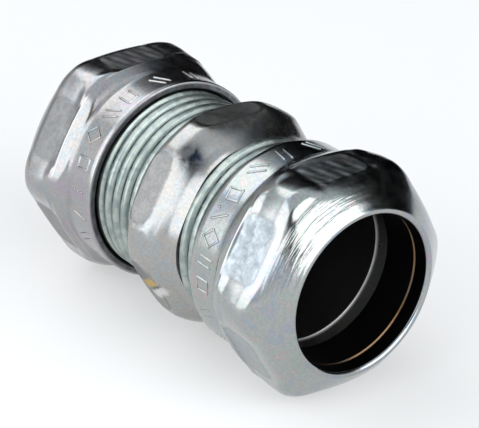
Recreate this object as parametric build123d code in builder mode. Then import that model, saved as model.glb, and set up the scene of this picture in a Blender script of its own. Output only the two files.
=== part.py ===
"""Half-inch steel compression coupling for thin-wall electrical conduit.

The conduit axis is X, with +X towards the front nut, and +Z is up. The origin is on the axis at the
conduit stop, in the middle of the body. All sizes are in millimetres.
"""

import math
import os

from build123d import *

# Conduit and body bore
conduit_diameter = 17.93
conduit_clearance = 0.185
stop_radius = 8.1
stop_width = 1.6
body_length = 32.0
mouth_radius = 9.95
mouth_bevel_length = 2.3

# Thread, 16 to the inch on 7/8 inch, right-handed
pitch = 25.4 / 16
crest_radius = 22.225 / 2
thread_depth = 0.6
crest_flat = 0.6
flank_angle = 30
thread_clearance = 0.16
front_crest_at_top = 0.86
thread_turns = 10
thread_end_chamfer = 1.6

# Six-sided wrench section of the body, with its sloping side towards the front. Each curve has a
# start, a point on the way and an end, as (x, radius)
wrench_rear_curve = ((-3.8, 11.71), (-3.2, 12.8), (-1.9, 13.25))
wrench_front_curve = ((-1.0, 13.25), (0.32, 13.0), (1.46, 12.28))
wrench_foot_curve = ((2.2, 11.59), (2.8, 11.25), (3.6, 11.14))
wrench_crease = -0.1
wrench_flat_distance = 12.35
wrench_slope_angle = 17

# Gland nut. Stations are measured from its open edge, and each curve has (station, radius) points
nut_length = 14.65
skirt_radius = 12.3
skirt_length = 4.4
skirt_chamfer = 0.2
lobe_curve = ((5.3, 13.2), (7.3, 13.88), (10.0, 14.1))
shoulder_curve = ((10.0, 14.1), (10.93, 13.89), (11.69, 13.31))
lip_curve = ((14.54, 9.91), (14.65, 9.61), (14.19, 9.15))
nut_rim_distance = 12.95
nut_rim_end = 5.6
nut_flat_distance = 12.65
nut_flat_start = 5.85
nut_countersink = 0.25
nut_thread_end = 8.9
nut_thread_turns = 8
nut_thread_fade = 1.0
cone_start = 10.65
cone_end_radius = 9.46
lip_start = 12.64
front_nut_edge = 7.64
rear_nut_turns_out = 2.5

# Split gland ring. Stations are measured from its rear nose
ring_length = 4.54
ring_clearance = 0.235
ring_nose_radius = 9.45
ring_nose_length = 1.3
ring_rim_start = 1.9
ring_rim_end = 3.45
ring_radius = 10.35
ring_front_radius = 9.36
ring_split = 2.0
ring_split_angle = -70
front_ring_nose = 15.59

# What follows from them
bore_radius = conduit_diameter / 2 + conduit_clearance
ring_bore_radius = conduit_diameter / 2 + ring_clearance
body_half = body_length / 2
root_radius = crest_radius - thread_depth
flank_slope = math.tan(math.radians(flank_angle))
bevel_slope = (mouth_radius - bore_radius) / mouth_bevel_length
wrench_rear = wrench_rear_curve[0][0]
wrench_front = wrench_foot_curve[-1][0]
wrench_radius = wrench_rear_curve[-1][1]
lobe_radius = lobe_curve[-1][1]
rear_screwed_out = rear_nut_turns_out * pitch
overlap = 0.05
margin = 1

os.makedirs("parts", exist_ok=True)


def tooth_half_width(radius):
    """Half the axial width of the male thread's tooth at a radius."""
    return crest_flat / 2 + (crest_radius - radius) * flank_slope


# The ridge of the front male thread, trimmed to the chamfer at the body's end
ridge_foot = root_radius - overlap
ridge_start = front_crest_at_top + pitch
with BuildPart() as front_thread:
    with BuildLine() as front_helix:
        Helix(pitch, pitch * thread_turns, crest_radius, center=(ridge_start, 0, 0), direction=(1, 0, 0))
    with BuildSketch(Plane.XZ):
        with BuildLine():
            Polyline(
                (ridge_start - tooth_half_width(ridge_foot), ridge_foot),
                (ridge_start - crest_flat / 2, crest_radius),
                (ridge_start + crest_flat / 2, crest_radius),
                (ridge_start + tooth_half_width(ridge_foot), ridge_foot),
                close=True,
            )
        make_face()
    sweep(path=front_helix.line, is_frenet=True)
    with BuildSketch(Plane.XZ):
        with BuildLine():
            Polyline(
                (0, 0),
                (0, root_radius + thread_end_chamfer),
                (body_half - thread_end_chamfer, root_radius + thread_end_chamfer),
                (body_half, root_radius),
                (body_half, 0),
                close=True,
            )
        make_face()
    revolve(axis=Axis.X, mode=Mode.INTERSECT)

# The cutter that presses one wrench flat: level at the rear, sloping down towards the front
slope_drop = (wrench_front + margin - wrench_crease) * math.tan(math.radians(wrench_slope_angle))
with BuildPart() as wrench_flat:
    with BuildSketch(Plane.XZ):
        with BuildLine():
            Polyline(
                (wrench_rear - margin, wrench_radius + margin),
                (wrench_rear - margin, wrench_flat_distance),
                (wrench_crease, wrench_flat_distance),
                (wrench_front + margin, wrench_flat_distance - slope_drop),
                (wrench_front + margin, wrench_radius + margin),
                close=True,
            )
        make_face()
    extrude(amount=wrench_radius, both=True)

# Coupling body
with BuildPart() as coupling_body:
    with BuildSketch(Plane.XZ):
        with BuildLine():
            Polyline(
                (-body_half, mouth_radius),
                (-body_half, root_radius),
                (wrench_rear, root_radius),
                wrench_rear_curve[0],
            )
            ThreePointArc(*wrench_rear_curve)
            Line(wrench_rear_curve[-1], wrench_front_curve[0])
            ThreePointArc(*wrench_front_curve)
            Line(wrench_front_curve[-1], wrench_foot_curve[0])
            ThreePointArc(*wrench_foot_curve)
            Polyline(
                wrench_foot_curve[-1],
                (wrench_front, root_radius),
                (body_half, root_radius),
                (body_half, mouth_radius),
                (body_half - mouth_bevel_length, bore_radius),
                (stop_width / 2, bore_radius),
                (stop_width / 2, stop_radius),
                (-stop_width / 2, stop_radius),
                (-stop_width / 2, bore_radius),
                (mouth_bevel_length - body_half, bore_radius),
                (-body_half, mouth_radius),
            )
        make_face()
    revolve(axis=Axis.X)
    for flat in range(6):
        add(wrench_flat.part, rotation=(60 * flat, 0, 0), mode=Mode.SUBTRACT)
    add(front_thread.part)
    add(front_thread.part, rotation=(0, 0, 180))

# The ridge of the nut's female thread: the male groove less the clearance all round
nut_crest_radius = root_radius + thread_clearance
nut_root_radius = crest_radius + thread_clearance
nut_foot = nut_root_radius + overlap
thread_gap = thread_clearance / math.cos(math.radians(flank_angle))


def nut_tooth_half_width(radius):
    """Half the axial width of the female thread's tooth at a radius."""
    return pitch / 2 - tooth_half_width(radius) - thread_gap


def from_edge(points):
    """Points of the front nut, whose stations are measured from its open edge, in the part's frame."""
    return [(front_nut_edge + station, radius) for station, radius in points]


nut_ridge_start = front_crest_at_top + 3.5 * pitch
with BuildPart() as nut_thread:
    with BuildLine() as nut_helix:
        Helix(
            pitch, pitch * nut_thread_turns, crest_radius, center=(nut_ridge_start, 0, 0), direction=(1, 0, 0)
        )
    with BuildSketch(Plane.XZ):
        with BuildLine():
            Polyline(
                (nut_ridge_start - nut_tooth_half_width(nut_foot), nut_foot),
                (nut_ridge_start - nut_tooth_half_width(nut_crest_radius), nut_crest_radius),
                (nut_ridge_start + nut_tooth_half_width(nut_crest_radius), nut_crest_radius),
                (nut_ridge_start + nut_tooth_half_width(nut_foot), nut_foot),
                close=True,
            )
        make_face()
    sweep(path=nut_helix.line, is_frenet=True)
    with BuildSketch(Plane.XZ):
        with BuildLine():
            Polyline(
                *from_edge(
                    [
                        (nut_countersink, nut_foot + overlap),
                        (nut_countersink + nut_thread_fade, nut_foot + overlap - nut_thread_fade),
                        (nut_thread_end - nut_thread_fade, nut_foot + overlap - nut_thread_fade),
                        (nut_thread_end, nut_foot + overlap),
                    ]
                ),
                close=True,
            )
        make_face()
    revolve(axis=Axis.X, mode=Mode.INTERSECT)

# The cutter that presses one dimple into the nut, with a low rim left along its rear
with BuildPart() as nut_flat:
    with BuildSketch(Plane.XZ):
        with BuildLine():
            Polyline(
                *from_edge(
                    [
                        (0, lobe_radius + margin),
                        (0, nut_rim_distance),
                        (nut_rim_end, nut_rim_distance),
                        (nut_flat_start, nut_flat_distance),
                        (nut_length, nut_flat_distance),
                        (nut_length, lobe_radius + margin),
                    ]
                ),
                close=True,
            )
        make_face()
    extrude(amount=lobe_radius, both=True)

# Front gland nut
with BuildPart() as front_gland_nut:
    with BuildSketch(Plane.XZ):
        with BuildLine():
            Polyline(
                *from_edge(
                    [
                        (nut_countersink, nut_root_radius),
                        (0, nut_root_radius + nut_countersink),
                        (0, skirt_radius - skirt_chamfer),
                        (skirt_chamfer, skirt_radius),
                        (skirt_length, skirt_radius),
                        lobe_curve[0],
                    ]
                )
            )
            ThreePointArc(*from_edge(lobe_curve))
            ThreePointArc(*from_edge(shoulder_curve))
            Line(*from_edge([shoulder_curve[-1], lip_curve[0]]))
            ThreePointArc(*from_edge(lip_curve))
            Polyline(
                *from_edge(
                    [
                        lip_curve[-1],
                        (lip_start, bore_radius),
                        (lip_start, cone_end_radius),
                        (cone_start, nut_root_radius),
                        (nut_countersink, nut_root_radius),
                    ]
                )
            )
        make_face()
    revolve(axis=Axis.X)
    for flat in range(6):
        add(nut_flat.part, rotation=(60 * flat, 0, 0), mode=Mode.SUBTRACT)
    add(nut_thread.part)

# Front gland ring
nose = front_ring_nose
with BuildPart() as front_gland_ring:
    with BuildSketch(Plane.XZ):
        with BuildLine():
            Polyline(
                (nose, ring_bore_radius),
                (nose, ring_nose_radius),
                (nose + ring_nose_length, ring_nose_radius + ring_nose_length * bevel_slope),
                (nose + ring_rim_start, ring_radius),
                (nose + ring_rim_end, ring_radius),
                (nose + ring_length, ring_front_radius),
                (nose + ring_length, ring_bore_radius),
                close=True,
            )
        make_face()
    revolve(axis=Axis.X)
    with BuildSketch(Plane.YZ.offset(nose - margin)):
        with Locations(Rotation(0, 0, -ring_split_angle)):
            with Locations((0, ring_radius)):
                Rectangle(ring_split, ring_radius)
    extrude(amount=ring_length + 2 * margin, mode=Mode.SUBTRACT)

# The rear nut and ring are the front ones turned end for end, and screwed further out
rear_place = Location((-rear_screwed_out, 0, 0), (0, 180, 0))
with BuildPart() as rear_gland_nut:
    with Locations(rear_place):
        add(front_gland_nut.part)
with BuildPart() as rear_gland_ring:
    with Locations(rear_place):
        add(front_gland_ring.part)

coupling_body.part.label = "coupling_body"
export_step(coupling_body.part, "parts/coupling_body.step")
front_gland_nut.part.label = "front_gland_nut"
export_step(front_gland_nut.part, "parts/front_gland_nut.step")
rear_gland_nut.part.label = "rear_gland_nut"
export_step(rear_gland_nut.part, "parts/rear_gland_nut.step")
front_gland_ring.part.label = "front_gland_ring"
export_step(front_gland_ring.part, "parts/front_gland_ring.step")
rear_gland_ring.part.label = "rear_gland_ring"
export_step(rear_gland_ring.part, "parts/rear_gland_ring.step")
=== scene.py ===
"""Looks of the half-inch conduit compression coupling.

Shapes are worked out in millimetres in the CAD's own frame, with the conduit axis along X, and
scaled to metres as each mesh is made. Angles round the axis run from +Z towards +Y.
"""

import math

import bmesh
import bpy
import numpy as np
from mathutils import Euler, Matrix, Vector


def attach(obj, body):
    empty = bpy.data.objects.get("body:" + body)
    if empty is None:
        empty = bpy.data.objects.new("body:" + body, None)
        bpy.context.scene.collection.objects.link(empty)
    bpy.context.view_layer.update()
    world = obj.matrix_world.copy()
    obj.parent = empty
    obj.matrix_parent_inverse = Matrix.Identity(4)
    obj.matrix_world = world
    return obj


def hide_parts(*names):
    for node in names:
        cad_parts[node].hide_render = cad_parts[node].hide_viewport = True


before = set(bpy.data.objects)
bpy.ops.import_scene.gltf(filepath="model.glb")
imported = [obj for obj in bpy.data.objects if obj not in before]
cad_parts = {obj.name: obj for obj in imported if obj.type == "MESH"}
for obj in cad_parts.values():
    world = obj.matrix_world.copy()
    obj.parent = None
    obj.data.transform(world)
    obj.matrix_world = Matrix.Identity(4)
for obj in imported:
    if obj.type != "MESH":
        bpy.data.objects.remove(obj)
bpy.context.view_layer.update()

MM = 0.001
TURN = 2 * math.pi

# Sizes shared with the CAD, in mm
PITCH = 25.4 / 16
CREST_RADIUS = 22.225 / 2
THREAD_DEPTH = 0.6
THREAD_CLEARANCE = 0.16
ROOT_RADIUS = CREST_RADIUS - THREAD_DEPTH
FRONT_CREST = 0.86
BODY_HALF = 16.0
BODY_END_RADIUS = ROOT_RADIUS - 0.02
BORE_RADIUS = 9.15
MOUTH_RADIUS = 9.95
MOUTH_BEVEL = 2.3
STOP_RADIUS = 8.1
STOP_HALF = 0.8
WRENCH_REAR = -3.8
WRENCH_FRONT = 3.6
WRENCH_FLAT = 12.35
WRENCH_CREASE = -0.1
WRENCH_SLOPE = math.radians(22)
NUT_EDGE = 7.64
NUT_THREAD_START = 0.25
NUT_THREAD_END = 8.9
NUT_FLAT = 12.65
NUT_RIM = 12.95
DIMPLE_RADIUS = 12.8
SKIRT_RADIUS = 12.3
REAR_SHIFT = 2.5 * PITCH
RING_NOSE = 15.59
RING_LENGTH = 4.54
RING_BORE = 9.2
RING_NOSE_RADIUS = 9.45
RING_RIM = 10.35
RING_SPLIT = 2.0
RING_SPLIT_ANGLE = math.radians(-70)
LOWEST = -14.1

SHARP_ANGLE = math.radians(35)


# Curves and blends
def ramp(start, end, value):
    """0 before start, 1 after end, and a smooth rise between them."""
    share = np.clip((value - start) / (end - start), 0, 1)
    return share * share * (3 - 2 * share)


def hump(centre, width, value):
    """A soft hump, 1 high at centre."""
    return np.exp(-(((value - centre) / width) ** 2))


def smooth_min(a, b, blend):
    """The smaller of a and b, rounded where they cross."""
    near = np.clip(blend - np.abs(a - b), 0, None) / blend
    return np.minimum(a, b) - near * near * blend / 4


def smooth_rise(value, blend):
    """0 below 0 and value above it, rounded between."""
    return np.where(value > blend, value - blend / 2, np.clip(value, 0, None) ** 2 / (2 * blend))


def straight(start, end, count):
    """Points from start to end, without start."""
    share = np.linspace(0, 1, count + 1)[1:, None]
    return list(map(tuple, np.array(start) + (np.array(end) - np.array(start)) * share))


def arc(start, middle, end, count):
    """Points of the arc from start through middle to end, without start."""
    (ax, ay), (bx, by), (cx, cy) = start, middle, end
    d = 2 * (ax * (by - cy) + bx * (cy - ay) + cx * (ay - by))
    aa, bb, cc = ax * ax + ay * ay, bx * bx + by * by, cx * cx + cy * cy
    ux = (aa * (by - cy) + bb * (cy - ay) + cc * (ay - by)) / d
    uy = (aa * (cx - bx) + bb * (ax - cx) + cc * (bx - ax)) / d
    radius = math.hypot(ax - ux, ay - uy)
    first = math.atan2(ay - uy, ax - ux)
    sweep = (math.atan2(cy - uy, cx - ux) - first + math.pi) % TURN - math.pi
    turns = first + sweep * np.linspace(0, 1, count + 1)[1:]
    return [(ux + radius * math.cos(t), uy + radius * math.sin(t)) for t in turns]


def from_flat(psi):
    """Angle from the middle of the nearest of the six flats."""
    return (psi + TURN / 12) % (TURN / 6) - TURN / 12


def waviness(x, psi, seed):
    """Slow unevenness of pressed metal, between about -1 and 1, the same after a whole turn."""
    total = np.zeros(np.broadcast(x, psi).shape)
    for i in range(7):
        around = 2 + (i * 5 + seed * 3) % 11
        along = 0.35 + 0.13 * ((i * 3 + seed) % 7)
        total = total + np.sin(around * psi + along * x + 1.7 * i + 2.3 * seed) / 4
    return total


# Thread form
MALE_FORM = (
    [0, 0.2, 0.3, 0.38, 0.46, 0.55, 0.64, PITCH / 2],
    [0, 0.01, 0.035, 0.09, 0.22, 0.42, 0.56, THREAD_DEPTH],
)
THREAD_STEPS = (-0.46, -0.38, -0.33, -0.27, -0.19, -0.08, 0.08, 0.19, 0.27, 0.33, 0.38, 0.46)


def from_crest(x, psi, crest_at_top):
    """Axial distance from the thread's nearest crest."""
    return (x - crest_at_top + PITCH * psi / TURN + PITCH / 2) % PITCH - PITCH / 2


def male_radius(x, psi, crest_at_top):
    """The body's thread: broad rounded crests and narrow roots, chamfered at the body's end."""
    depth = np.interp(np.abs(from_crest(x, psi, crest_at_top)), *MALE_FORM)
    depth = depth + 0.014 * np.clip(waviness(x, 2 * psi, 4), 0, None)
    return np.minimum(CREST_RADIUS - depth, BODY_END_RADIUS + BODY_HALF - np.abs(x))


def female_radius(x, psi, crest_at_top):
    """A nut's thread, whose ridge stands in the body's groove."""
    foot = CREST_RADIUS + THREAD_CLEARANCE
    from_groove = PITCH / 2 - np.abs(from_crest(x, psi, crest_at_top))
    ridge = np.interp(from_groove, [0.05, 0.4], [THREAD_DEPTH, 0])
    start, end = NUT_EDGE + NUT_THREAD_START, NUT_EDGE + NUT_THREAD_END
    return foot - np.minimum(ridge, np.clip(np.minimum(x - start, end - x), 0, None))


def thread_rows(start, end, psi, crest_at_top, radius):
    """Rows that follow the helix, cut off at start and end."""
    first = math.floor((start - crest_at_top) / PITCH)
    last = math.ceil((end - crest_at_top) / PITCH) + 1
    rows = []
    for turn in range(first, last + 1):
        for step in THREAD_STEPS:
            x = np.clip(crest_at_top + (turn + step) * PITCH - PITCH * psi / TURN, start, end)
            rows.append((x, radius(x, psi)))
    return rows


# Meshes
def level_rows(points, psi, shape=None):
    """One row round the axis for each profile point, changed by shape(x, r, psi)."""
    rows = []
    for x, r in points:
        rows.append((np.full_like(psi, x), np.full_like(psi, r) if shape is None else shape(x, r, psi)))
    return rows


def lathe(rows, psi):
    """Points and faces of the closed skin whose rows run once round the section."""
    x = np.array([row[0] for row in rows])
    r = np.array([row[1] for row in rows])
    angle = np.broadcast_to(psi, x.shape)
    points = np.stack([x, r * np.sin(angle), r * np.cos(angle)], -1).reshape(-1, 3)
    count, around = x.shape
    i, j = np.meshgrid(np.arange(count), np.arange(around - 1), indexing="ij")
    after = (i + 1) % count
    faces = np.stack([i * around + j, after * around + j, after * around + j + 1, i * around + j + 1], -1)
    return points, faces.reshape(-1, 4)


def to_rear(points):
    """A point of the front nut or ring, moved to where it is on the rear one."""
    return points * (-1, -1, 1) - (REAR_SHIFT, 0, 0)


def build(name, skins, body, node, material, masks):
    """One piece from skins, each points and faces in mm, with its masks as point attributes."""
    mesh = bpy.data.meshes.new(name)
    points, quads, base = [], [], 0
    for skin_points, faces in skins:
        points.append(skin_points)
        quads.append(faces + base)
        base += len(skin_points)
    points = np.concatenate(points) * MM
    quads = np.concatenate(quads)
    mesh.vertices.add(len(points))
    mesh.vertices.foreach_set("co", points.astype(np.float32).ravel())
    mesh.loops.add(quads.size)
    mesh.loops.foreach_set("vertex_index", quads.astype(np.int32).ravel())
    mesh.polygons.add(len(quads))
    mesh.polygons.foreach_set("loop_start", np.arange(0, quads.size, 4, dtype=np.int32))
    mesh.update(calc_edges=True)
    work = bmesh.new()
    work.from_mesh(mesh)
    bmesh.ops.remove_doubles(work, verts=work.verts, dist=1e-6)
    bmesh.ops.dissolve_degenerate(work, edges=work.edges, dist=1e-7)
    bmesh.ops.recalc_face_normals(work, faces=work.faces)
    work.to_mesh(mesh)
    work.free()
    mesh.shade_smooth()
    mesh.set_sharp_from_angle(angle=SHARP_ANGLE)
    co = np.zeros(len(mesh.vertices) * 3, np.float32)
    mesh.vertices.foreach_get("co", co)
    co = co.reshape(-1, 3).astype(float) / MM
    for mask, value in masks(co).items():
        layer = mesh.attributes.new(mask, "FLOAT", "POINT")
        layer.data.foreach_set("value", np.clip(value, 0, 1).astype(np.float32))
    mesh.materials.append(material)
    obj = bpy.data.objects.new(name, mesh)
    bpy.context.scene.collection.objects.link(obj)
    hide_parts(node)
    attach(obj, body)


def stroke(start, end, width=0.34, height=0.13):
    """A raised rounded bar on the skirt, from start to end, each (station, distance round the skirt)."""
    start, end = np.array(start, float), np.array(end, float)
    length = np.linalg.norm(end - start)
    along = (end - start) / length
    across = np.array([-along[1], along[0]])
    tip = width / 2
    section = [(-1, -0.6), (-0.85, 0.2), (-0.5, 0.8), (0, 1), (0.5, 0.8), (0.85, 0.2), (1, -0.6)]
    stops = [(-tip, 0), (-0.8 * tip, 0.5), (-0.3 * tip, 0.9), (0.3 * tip, 1)]
    stops = stops + [(length - d, f) for d, f in stops[::-1]]
    rings = []
    for distance, fullness in stops:
        for side, up in section:
            place = start + along * distance + across * side * width / 2 * fullness
            rise = height * up * fullness if up > 0 else -0.1
            rings.append((place[0], place[1], SKIRT_RADIUS + (rise if fullness else -0.1)))
    u, around, r = np.array(rings).T
    angle = around / SKIRT_RADIUS
    points = np.stack([NUT_EDGE + u, r * np.sin(angle), r * np.cos(angle)], -1)
    count, loop = len(stops), len(section)
    i, j = np.meshgrid(np.arange(count - 1), np.arange(loop), indexing="ij")
    after = (j + 1) % loop
    faces = np.stack([i * loop + j, i * loop + after, (i + 1) * loop + after, (i + 1) * loop + j], -1)
    return points, faces.reshape(-1, 4)


def motif(kind, station, degrees, lean=0.0):
    """The strokes of one generic mark, centred at station and angle on the skirt."""
    forms = {
        "bars": [((-1, -0.35), (1, 0.05)), ((-1, 0.55), (1, 0.95))],
        "bar": [((-1.1, 0), (1.1, 0.3))],
        "frame": [
            ((-0.9, -0.7), (0.9, -0.7)),
            ((0.9, -0.7), (0.9, 0.7)),
            ((0.9, 0.7), (-0.9, 0.7)),
            ((-0.9, 0.7), (-0.9, -0.7)),
        ],
        "diamond": [((-1.2, 0), (0, 1)), ((0, 1), (1.2, 0)), ((1.2, 0), (0, -1)), ((0, -1), (-1.2, 0))],
        "dots": [((-0.7, 0), (-0.6, 0)), ((0, 0), (0.1, 0)), ((0.7, 0), (0.8, 0))],
        "dot": [((-0.05, 0), (0.05, 0))],
    }
    around = math.radians(degrees) * SKIRT_RADIUS
    turn = np.array([[math.cos(lean), -math.sin(lean)], [math.sin(lean), math.cos(lean)]])
    return [stroke(turn @ a + (station, around), turn @ b + (station, around)) for a, b in forms[kind]]


# Materials
def node(tree, kind, inputs=None, **settings):
    """A shader node with its settings, and its inputs set to values or linked to sockets."""
    made = tree.nodes.new("ShaderNode" + kind)
    for key, value in settings.items():
        setattr(made, key, value)
    for key, value in (inputs or {}).items():
        if isinstance(value, bpy.types.NodeSocket):
            tree.links.new(value, made.inputs[key])
        else:
            made.inputs[key].default_value = value
    return made


def ramp_node(tree, value, stops, mode="EASE"):
    """A colour ramp with (position, colour) stops."""
    made = node(tree, "ValToRGB", {0: value})
    made.color_ramp.interpolation = mode
    elements = made.color_ramp.elements
    while len(elements) < len(stops):
        elements.new(0.5)
    for element, (position, colour) in zip(elements, stops):
        element.position = position
        element.color = (*colour, 1) if isinstance(colour, tuple) else (colour, colour, colour, 1)
    return made.outputs[0]


def noise(tree, place, scale, detail=3, stretch=(1, 1, 1), distortion=0.0):
    """Noise whose scale is in features to a millimetre, stretched along the axes."""
    mapped = node(tree, "Mapping", {"Vector": place, "Scale": [1000 * k for k in stretch]})
    inputs = {"Vector": mapped.outputs[0], "Scale": scale, "Detail": detail, "Distortion": distortion}
    return node(tree, "TexNoise", inputs).outputs["Fac"]


def maths(tree, operation, a, b):
    return node(tree, "Math", {0: a, 1: b}, operation=operation).outputs[0]


def mixed(tree, share, a, b, blend="MIX"):
    made = node(tree, "Mix", {0: share, 6: a, 7: b}, data_type="RGBA", blend_type=blend)
    return made.outputs[2]


def mask_of(tree, name):
    return node(tree, "Attribute", attribute_name=name).outputs["Fac"]


MASKS = ("dull", "matte", "drawn", "dirt", "inside", "bright", "gold", "green")


def zinc(name, tints, dull, roughness, mottle):
    """Zinc plate on pressed steel, with these masks from the mesh.

    dull: mottled pressed floors; matte: rougher metal; drawn: smooth metal with draw marks round it;
    dirt: painted shade in thread roots, creases and gaps, a painted dark
    reflection, and the dark line and darker end of the stain; inside: inner faces painted
    near black as shade, also made rougher; bright: painted highlights on edges and rims,
    and a painted glint on the stain; gold: a stain of yellow passivation; green: the greenish plating
    of the threads.
    """
    material = bpy.data.materials.new(name)
    material.use_nodes = True
    tree = material.node_tree
    shader = tree.nodes["Principled BSDF"]
    shader.inputs["Metallic"].default_value = 1.0
    place = node(tree, "TexCoord").outputs["Object"]
    dull_mask, matte, drawn, dirt, inside, bright, gold, green = (mask_of(tree, mask) for mask in MASKS)

    cloud = noise(tree, place, 0.2, 3, distortion=1.6)
    patch = noise(tree, place, 0.85, 3, distortion=0.6)
    fine = noise(tree, place, 3.2, 4)
    speck = noise(tree, place, 9.0, 3)
    steps = np.linspace(0.33, 0.67, len(tints))
    colour = ramp_node(tree, cloud, list(zip(steps, tints)))
    shade = ramp_node(tree, fine, [(0.3, 0.93), (0.7, 1.06)])
    colour = mixed(tree, 1.0, colour, shade, "MULTIPLY")
    green_zinc = ramp_node(tree, patch, [(0.36, (0.26, 0.32, 0.31)), (0.62, (0.41, 0.47, 0.43))])
    colour = mixed(tree, green, colour, green_zinc)
    darker, lighter = (tuple(k * (1 + mottle * change) for k in dull) for change in (-0.22, 0.26))
    floor_colour = ramp_node(tree, patch, [(0.36, darker), (0.5, dull), (0.62, lighter)])
    floor_shade = ramp_node(tree, fine, [(0.3, 0.92), (0.7, 1.08)])
    floor_colour = mixed(tree, 1.0, floor_colour, floor_shade, "MULTIPLY")
    colour = mixed(tree, dull_mask, colour, floor_colour)
    uneven = ramp_node(tree, patch, [(0.38, 0.6), (0.6, 1.0)])
    # Painted shade: a dark blue-black laid over thread roots, creases and gaps, a painted dark reflection,
    # and the dark parts of the stain
    colour = mixed(tree, maths(tree, "MULTIPLY", dirt, uneven), colour, (0.02, 0.026, 0.042, 1))
    # Painted shade: inner faces painted near black
    colour = mixed(tree, inside, colour, (0.014, 0.013, 0.014, 1))
    # Painted highlight: a pale grey laid on edges and rims, and a painted glint on the stain
    colour = mixed(tree, bright, colour, (0.66, 0.65, 0.64, 1))
    colour = mixed(tree, gold, colour, (0.52, 0.36, 0.10, 1))
    tree.links.new(colour, shader.inputs["Base Color"])

    rough = ramp_node(tree, patch, [(0.25, roughness - 0.03), (0.75, roughness + 0.05)], "LINEAR")
    rough = maths(tree, "ADD", rough, maths(tree, "MULTIPLY", matte, 0.24))
    rough = maths(tree, "ADD", rough, maths(tree, "MULTIPLY", inside, 0.2))
    tree.links.new(rough, shader.inputs["Roughness"])

    lines = noise(tree, place, 1.0, 3, stretch=(3.6, 0.22, 0.22))
    height = maths(tree, "MULTIPLY", fine, 0.0035)
    height = maths(tree, "ADD", height, maths(tree, "MULTIPLY", speck, 0.0012))
    height = maths(tree, "ADD", height, maths(tree, "MULTIPLY", cloud, 0.02))
    pits = maths(tree, "MULTIPLY", maths(tree, "MULTIPLY", fine, dull_mask), 0.008)
    marks = maths(tree, "MULTIPLY", maths(tree, "MULTIPLY", lines, drawn), 0.13)
    height = maths(tree, "ADD", maths(tree, "ADD", height, pits), marks)
    relief = node(tree, "Bump", {"Strength": 1.0, "Distance": MM, "Height": height})
    tree.links.new(relief.outputs[0], shader.inputs["Normal"])
    return material


nut_tints = (
    (0.365, 0.345, 0.385),
    (0.32, 0.36, 0.39),
    (0.37, 0.37, 0.365),
    (0.335, 0.38, 0.36),
    (0.40, 0.36, 0.355),
)
rear_tints = (
    (0.34, 0.32, 0.345),
    (0.37, 0.35, 0.335),
    (0.325, 0.35, 0.365),
    (0.36, 0.35, 0.345),
    (0.36, 0.33, 0.37),
)
body_tints = (
    (0.36, 0.375, 0.36),
    (0.38, 0.365, 0.345),
    (0.35, 0.37, 0.375),
    (0.39, 0.375, 0.365),
)
ring_tints = ((0.12, 0.07, 0.04), (0.18, 0.11, 0.06), (0.15, 0.11, 0.09))
front_zinc = zinc("front_zinc", nut_tints, (0.38, 0.42, 0.45), 0.17, 1.0)
rear_zinc = zinc("rear_zinc", rear_tints, (0.27, 0.27, 0.27), 0.22, 0.4)
body_zinc = zinc("body_zinc", body_tints, (0.31, 0.305, 0.30), 0.25, 0.4)
ring_zinc = zinc("ring_zinc", ring_tints, (0.2, 0.16, 0.13), 0.3, 0.4)


def cylindrical(co):
    """x, radius and angle of points in mm."""
    return co[:, 0], np.hypot(co[:, 1], co[:, 2]), np.arctan2(co[:, 1], co[:, 2])


# Coupling body
def wrench_flat(x):
    """Distance of a flat from the axis."""
    return WRENCH_FLAT - np.clip(x - WRENCH_CREASE, 0, None) * math.tan(WRENCH_SLOPE)


def wrench_shape(x, r, psi):
    """Six flats: level at the rear, and sloping down towards the front."""
    blend = 0.15 + 0.75 * ramp(WRENCH_CREASE, 1.2, x)
    return smooth_min(np.full_like(psi, r), wrench_flat(x) / np.cos(from_flat(psi)), blend)


psi = np.linspace(0, TURN, 361)
mouth = BODY_HALF - MOUTH_BEVEL
wrench_profile = (
    [(WRENCH_REAR, 11.71)]
    + arc((WRENCH_REAR, 11.71), (-3.2, 12.8), (-1.9, 13.25), 18)
    + straight((-1.9, 13.25), (-1.0, 13.25), 8)
    + arc((-1.0, 13.25), (0.32, 13.0), (1.46, 12.28), 20)
    + straight((1.46, 12.28), (2.2, 11.59), 6)
    + arc((2.2, 11.59), (2.8, 11.25), (WRENCH_FRONT, 11.14), 7)
)
body_rows = (
    level_rows([(-BODY_HALF, MOUTH_RADIUS), (-BODY_HALF, BODY_END_RADIUS)], psi)
    + thread_rows(-BODY_HALF, WRENCH_REAR, psi, -FRONT_CREST, lambda x, p: male_radius(x, p, -FRONT_CREST))
    + level_rows(wrench_profile, psi, wrench_shape)
    + thread_rows(WRENCH_FRONT, BODY_HALF, psi, FRONT_CREST, lambda x, p: male_radius(x, p, FRONT_CREST))
    + level_rows([(BODY_HALF, BODY_END_RADIUS), (BODY_HALF, MOUTH_RADIUS)], psi)
    + level_rows(
        [
            (mouth + 0.4, BORE_RADIUS + 0.23),
            (mouth + 0.14, BORE_RADIUS + 0.14),
            (mouth, BORE_RADIUS),
            (mouth - 0.1, BORE_RADIUS),
            (STOP_HALF, BORE_RADIUS),
            (STOP_HALF, STOP_RADIUS),
            (-STOP_HALF, STOP_RADIUS),
            (-STOP_HALF, BORE_RADIUS),
            (0.1 - mouth, BORE_RADIUS),
            (-mouth, BORE_RADIUS),
            (-mouth - 0.14, BORE_RADIUS + 0.14),
            (-mouth - 0.4, BORE_RADIUS + 0.23),
        ],
        psi,
    )
)


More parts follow.
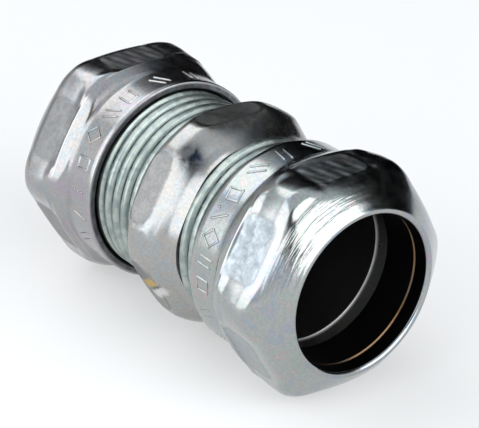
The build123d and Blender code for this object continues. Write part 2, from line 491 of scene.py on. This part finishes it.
def body_masks(co):
    x, r, psi = cylindrical(co)
    crown_x, crown_r = np.array(wrench_profile).T
    outside = r > 10
    depth = np.interp(x, crown_x, crown_r) - wrench_flat(x) / np.cos(from_flat(psi))
    wrench = (x > WRENCH_REAR) & (x < WRENCH_FRONT) & outside
    pressed = ramp(0, 0.2, depth) * wrench
    from_middle = np.abs(12.5 * np.tan(from_flat(psi)))
    corner = np.hypot(np.clip(from_middle - 2.7, 0, None), np.clip(np.abs(x + 1.72) - 0.12, 0, None))
    # Painted dark reflection: a dark spot on a lobe of the wrench section
    painted_reflection_spot = hump(0, 1.3, np.hypot(x - 1.15, 12.4 * (psi - math.radians(-36))))
    threaded = ((x < WRENCH_REAR) | (x > WRENCH_FRONT)) & outside
    bevel = (np.abs(x) > mouth + 0.2) & ~outside
    around = (psi - math.radians(-120)) * WRENCH_FLAT
    along, across = 0.8 * (x + 1) + 0.6 * around, 0.8 * around - 0.6 * (x + 1)
    across = across + 0.22 * waviness(3 * x, 12 * psi, 2)
    stain = wrench * ramp(2.2, 1.2, np.abs(along))
    faded = 1 - 0.8 * hump(0, 0.45, psi)
    # Painted shade along the thread roots
    grooves = threaded * ramp(0.36, 0.5, CREST_RADIUS - r)
    # Painted shade along the edge of each pressed flat
    floor_edge = hump(1.55, 0.13, corner)
    stain_edge = 0.8 * hump(-0.05, 0.22, across) + 0.5 * ramp(0.8, 1.5, across)
    # Painted highlight along the inner edge of each mouth bevel
    mouth_edge = hump(mouth + 0.07, 0.12, np.abs(x)) * ~outside
    # Painted glint: the pale end of the stain
    stain_glint = stain * ramp(-1.7, -1.1, across) * ramp(-0.1, -0.4, across)
    return {
        "dull": pressed * ramp(1.55, 1.4, corner) * faded,
        "matte": np.where(threaded, 0.4, pressed * ramp(1.55, 1.35, corner) * faded),
        "drawn": 0 * x,
        "dirt": grooves + wrench * (0.6 * floor_edge + 1.5 * painted_reflection_spot) + stain * stain_edge,
        # Painted shade: the bore near black, the mouth bevels a quarter as dark
        "inside": np.where(outside, 0, np.where(bevel, 0.25, 1)),
        "bright": np.maximum(mouth_edge, stain_glint),
        "gold": stain * ramp(0.05, 0.35, across) * ramp(1.6, 1.0, across),
        "green": 0.85 * threaded,
    }


build(
    "coupling_body_steel",
    [lathe(body_rows, psi)],
    "body",
    "coupling_body",
    body_zinc,
    body_masks,
)


# Gland nuts
def dimple(u, psi):
    """Radius of a dimple's surface: a slope up to a rim, a floor with raised sides, a rolled front."""
    lean = np.cos(from_flat(psi))
    across = np.abs(DIMPLE_RADIUS * np.tan(from_flat(psi)))
    floor = NUT_FLAT - 0.085 * np.clip(u - 10.5, 0, 3) ** 2 + 0.17 * smooth_rise(across - 3.4, 0.8)
    rear = NUT_RIM - 0.40 * np.clip(6.05 - u, 0, 1.1)
    scraped = ramp(math.radians(22), math.radians(16), np.abs(np.arctan2(np.sin(psi), np.cos(psi))))
    ripple = 0.02 * np.sin(41 * psi + 0.5 * u) + 0.014 * np.sin(67 * psi - 1.3 * u)
    floor = floor + scraped * ramp(6.6, 7.2, u) * ramp(11.5, 10.5, u) * ripple
    return rear / np.sqrt(lean) * ramp(6.55, 6.05, u) + floor / lean * ramp(6.05, 6.55, u)


def nut_shape(x, r, psi):
    """Six pressed dimples, sharp at the rear and softly rounded at the sides and the front."""
    u = x - NUT_EDGE
    blend = 0.15 + 1.35 * ramp(5.8, 7.6, u) - 0.3 * ramp(9.5, 11.5, u)
    return smooth_min(np.full_like(psi, r), dimple(u, psi), blend)


psi = np.linspace(0, TURN, 481)
outer = (
    [(0, 11.53), (0, 11.95), (0, 12.1), (0.06, 12.24), (0.2, 12.3)]
    + straight((0.2, SKIRT_RADIUS), (4.1, SKIRT_RADIUS), 8)
    + arc((4.1, SKIRT_RADIUS), (4.45, 12.38), (4.7, 12.58), 4)
    + straight((4.7, 12.58), (5.1, 13.0), 4)
    + arc((5.1, 13.0), (5.3, 13.17), (5.55, 13.31), 6)
    + straight((5.55, 13.31), (6.5, 13.68), 14)
    + arc((6.5, 13.68), (8.0, 13.98), (10.0, 14.09), 18)
    + arc((10.0, 14.09), (10.93, 13.88), (11.69, 13.3), 24)
    + straight((11.69, 13.3), (14.52, 9.93), 26)
    + arc((14.52, 9.93), (14.63, 9.61), (14.19, BORE_RADIUS), 10)
)
inner = [(12.64, BORE_RADIUS), (12.64, 9.46), (10.65, CREST_RADIUS + THREAD_CLEARANCE)]


def nut_skin(crest_at_top):
    """A nut where the front one is, with the phase of its thread."""
    start, end = NUT_EDGE + NUT_THREAD_START, NUT_EDGE + NUT_THREAD_END
    thread = thread_rows(start, end, psi, crest_at_top, lambda x, p: female_radius(x, p, crest_at_top))
    outside = level_rows([(NUT_EDGE + u, r) for u, r in outer], psi, nut_shape)
    return lathe(outside + level_rows([(NUT_EDGE + u, r) for u, r in inner], psi) + thread[::-1], psi)


def nut_masks(co):
    x, r, psi = cylindrical(co)
    u = x - NUT_EDGE
    profile_u, profile_r = np.array(outer[4:-12]).T
    pressed = np.interp(u, profile_u, profile_r) - dimple(u, psi)
    outside = (r > 11.4) | ((u > 12.0) & (r > 9.55)) | ((u > 14.0) & (r > 9.2))
    across = np.abs(DIMPLE_RADIUS * np.tan(from_flat(psi)))
    corner = np.hypot(np.clip(across - 2.4, 0, None), np.clip(np.abs(u - 8.65) - 1.05, 0, None))
    pit = ramp(1.35, 1.1, corner) * (u > 6.3) * (u < 11.2)
    pit_edge = hump(1.3, 0.14, corner) * (u > 6.3) * (u < 11.5)
    border = hump(1.95, 0.5, corner) * ramp(6.4, 6.9, u) * ramp(12.8, 11.6, u)
    skirt_edge = hump(0.1, 0.1, u) * (r > 12.15)
    rim = hump(6.07, 0.1, u) * ramp(-0.1, 0.1, pressed)
    return {
        "dull": outside * pit * (1 - 0.75 * ramp(-1.4, -1.8, psi)) * (1 - 0.85 * hump(0, 0.45, psi)),
        "matte": outside * np.maximum(pit * (1 - 0.5 * hump(0, 0.45, psi)), u < 0.02),
        "drawn": outside * ramp(12.0, 12.4, u) * ramp(14.3, 14.0, u) * (0.12 + 1.0 * hump(-0.75, 0.6, psi)),
        # Painted shade in the step from skirt to shoulder, round each dimple floor, and on the rear face
        # next to the body
        "dirt": outside * (0.12 * hump(4.35, 0.2, u) + 0.32 * pit_edge + 0.65 * (u < 0.02) * (r < 12.0)),
        # Painted shade: the nut's inner faces and thread painted near black
        "inside": ~outside,
        # Painted highlights on the skirt's edge, the dimples' rear rims and their rolled borders
        "bright": outside * (0.15 * skirt_edge + 0.5 * rim + 0.22 * border),
        "gold": 0 * u,
        "green": 0 * u,
    }


front_marks = (
    ("dots", 2.2, -128, 0.0),
    ("bars", 2.1, -112, 0.3),
    ("frame", 2.2, -92, 0.0),
    ("bars", 2.2, -80, -0.2),
    ("diamond", 2.3, -66, 0.1),
    ("bar", 2.2, -55, 0.4),
    ("dot", 1.4, -50, 0.0),
    ("frame", 2.2, -41, 0.2),
    ("bars", 2.2, -24, 0.5),
    ("bars", 2.2, -8, -0.4),
    ("bars", 2.2, 12, 0.3),
    ("frame", 2.2, 150, 0.0),
    ("bars", 2.2, 170, 0.3),
)
rear_marks = (
    ("bars", 2.2, 112, 0.3),
    ("bar", 2.2, 98, -0.3),
    ("dots", 2.2, 84, 0.0),
    ("frame", 2.2, 68, 0.1),
    ("diamond", 2.6, 52, 0.1),
    ("bars", 2.3, 36, 0.2),
    ("frame", 2.3, 24, 0.0),
    ("bars", 2.2, 2, 0.3),
    ("bars", 2.2, -20, -0.3),
    ("frame", 2.2, -170, 0.1),
)
build(
    "front_nut_steel",
    [nut_skin(FRONT_CREST)] + [bar for form in front_marks for bar in motif(*form)],
    "front_nut",
    "front_gland_nut",
    front_zinc,
    nut_masks,
)
rear_skins = [nut_skin(FRONT_CREST + PITCH / 2)] + [bar for form in rear_marks for bar in motif(*form)]
build(
    "rear_nut_steel",
    [(to_rear(points), faces) for points, faces in rear_skins],
    "rear_nut",
    "rear_gland_nut",
    rear_zinc,
    lambda co: nut_masks(to_rear(co)),
)

# Split gland rings
half_split = RING_SPLIT / 2 / 9.8
psi = np.linspace(RING_SPLIT_ANGLE + half_split, RING_SPLIT_ANGLE + TURN - half_split, 241)
bevel_slope = (MOUTH_RADIUS - BORE_RADIUS) / MOUTH_BEVEL
ring_profile = (
    [(0, RING_BORE), (0, RING_NOSE_RADIUS), (1.3, RING_NOSE_RADIUS + 1.3 * bevel_slope), (1.9, RING_RIM)]
    + [(3.45, RING_RIM)]
    + straight((3.45, RING_RIM), (4.45, 9.42), 5)
    + [(RING_LENGTH, 9.38), (4.36, RING_BORE), (4.24, RING_BORE), (0.1, RING_BORE)]
)
ring_points, ring_faces = lathe(level_rows([(RING_NOSE + u, r) for u, r in ring_profile], psi), psi)


def ring_masks(co):
    x, r, psi = cylindrical(co)
    u = x - RING_NOSE
    return {
        "dull": 0 * r,
        "matte": 0 * r,
        "drawn": 0 * r,
        "dirt": 0 * r,
        # Painted shade: the ring's bore painted near black
        "inside": (r < 9.25) * ramp(4.34, 4.28, u),
        "bright": 0 * r,
        "gold": 0.05 * ramp(4.3, 4.4, u) * (r < 9.45),
        "green": 0 * r,
    }


build(
    "front_ring_steel",
    [(ring_points, ring_faces)],
    "front_ring",
    "front_gland_ring",
    ring_zinc,
    ring_masks,
)
build(
    "rear_ring_steel",
    [(to_rear(ring_points), ring_faces)],
    "rear_ring",
    "rear_gland_ring",
    ring_zinc,
    lambda co: ring_masks(to_rear(co)),
)

# Floor
floor_mesh = bpy.data.meshes.new("floor")
size = 2.0
floor_mesh.from_pydata(
    [(-size, -size, 0), (size, -size, 0), (size, size, 0), (-size, size, 0)], [], [(0, 1, 2, 3)]
)
floor = bpy.data.objects.new("floor", floor_mesh)
floor.location.z = LOWEST * MM
bpy.context.scene.collection.objects.link(floor)
floor_paint = bpy.data.materials.new("floor_paint")
floor_paint.use_nodes = True
floor_shader = floor_paint.node_tree.nodes["Principled BSDF"]
floor_shader.inputs["Base Color"].default_value = (0.52, 0.52, 0.52, 1)
floor_shader.inputs["Emission Color"].default_value = (1, 1, 1, 1)
floor_shader.inputs["Emission Strength"].default_value = 0.4
floor_shader.inputs["Roughness"].default_value = 0.8
floor_mesh.materials.append(floor_paint)


# Lights
def softbox(name, position, width, height, brightness, aim=(0, 0, 0)):
    """A rectangular soft light, in mm, at position and turned towards aim."""
    light = bpy.data.lights.new(name, "AREA")
    light.shape = "RECTANGLE"
    light.size, light.size_y = width * MM, height * MM
    light.energy = brightness * math.pi * width * height * MM * MM
    lamp = bpy.data.objects.new(name, light)
    lamp.location = Vector(position) * MM
    lamp.rotation_euler = (Vector(aim) - Vector(position)).to_track_quat("-Z", "Y").to_euler()
    bpy.context.scene.collection.objects.link(lamp)


softbox("front softbox", (458, 30, 215), 590, 400, 2.5, aim=(10, 0, 20))
softbox("left softbox", (-115, -480, 200), 640, 500, 1.65)
softbox("back softbox", (-320, -60, 400), 320, 260, 1.6)


def direction(azimuth, elevation):
    """A unit vector, with azimuth from +X towards +Y."""
    a, e = math.radians(azimuth), math.radians(elevation)
    return math.cos(a) * math.cos(e), math.sin(a) * math.cos(e), math.sin(e)


# A grey room, dark behind the object and where the camera stands
DARK_AREAS = (
    ((94, 16), 55, 38, 0.0),
    ((150, 8), 40, 22, 0.0),
    ((-172, 10), 30, 12, 0.5),
    ((-42, 33), 20, 8, 0.03),
)
world = bpy.data.worlds.new("studio")
bpy.context.scene.world = world
world.use_nodes = True
nodes, links = world.node_tree.nodes, world.node_tree.links
background = nodes["Background"]
looking = nodes.new("ShaderNodeTexCoord").outputs["Generated"]
room = nodes.new("ShaderNodeRGB")
room.outputs[0].default_value = (0.86, 0.92, 0.98, 1)
light = room.outputs[0]
for place, outer_angle, inner_angle, left in DARK_AREAS:
    dot = nodes.new("ShaderNodeVectorMath")
    dot.operation = "DOT_PRODUCT"
    dot.inputs[1].default_value = direction(*place)
    links.new(looking, dot.inputs[0])
    share = nodes.new("ShaderNodeMapRange")
    share.interpolation_type = "SMOOTHSTEP"
    share.inputs["From Min"].default_value = math.cos(math.radians(outer_angle))
    share.inputs["From Max"].default_value = math.cos(math.radians(inner_angle))
    links.new(dot.outputs["Value"], share.inputs["Value"])
    mix = nodes.new("ShaderNodeMix")
    mix.data_type = "RGBA"
    links.new(share.outputs["Result"], mix.inputs["Factor"])
    links.new(light, mix.inputs[6])
    mix.inputs[7].default_value = (left, left, left, 1)
    light = mix.outputs[2]
links.new(light, background.inputs["Color"])

# Camera
camera_data = bpy.data.cameras.new("camera")
camera_data.lens = 159.25
camera_data.sensor_width = 36
camera_data.clip_start, camera_data.clip_end = 0.01, 10
camera = bpy.data.objects.new("camera", camera_data)
camera.location = Vector((167.95, -133.28, 110.92)) * MM
camera.rotation_euler = Euler([math.radians(a) for a in (62.7207, -1.0770, 52.0098)])
bpy.context.scene.collection.objects.link(camera)
bpy.context.scene.camera = camera
bpy.context.scene.view_settings.view_transform = "Standard"
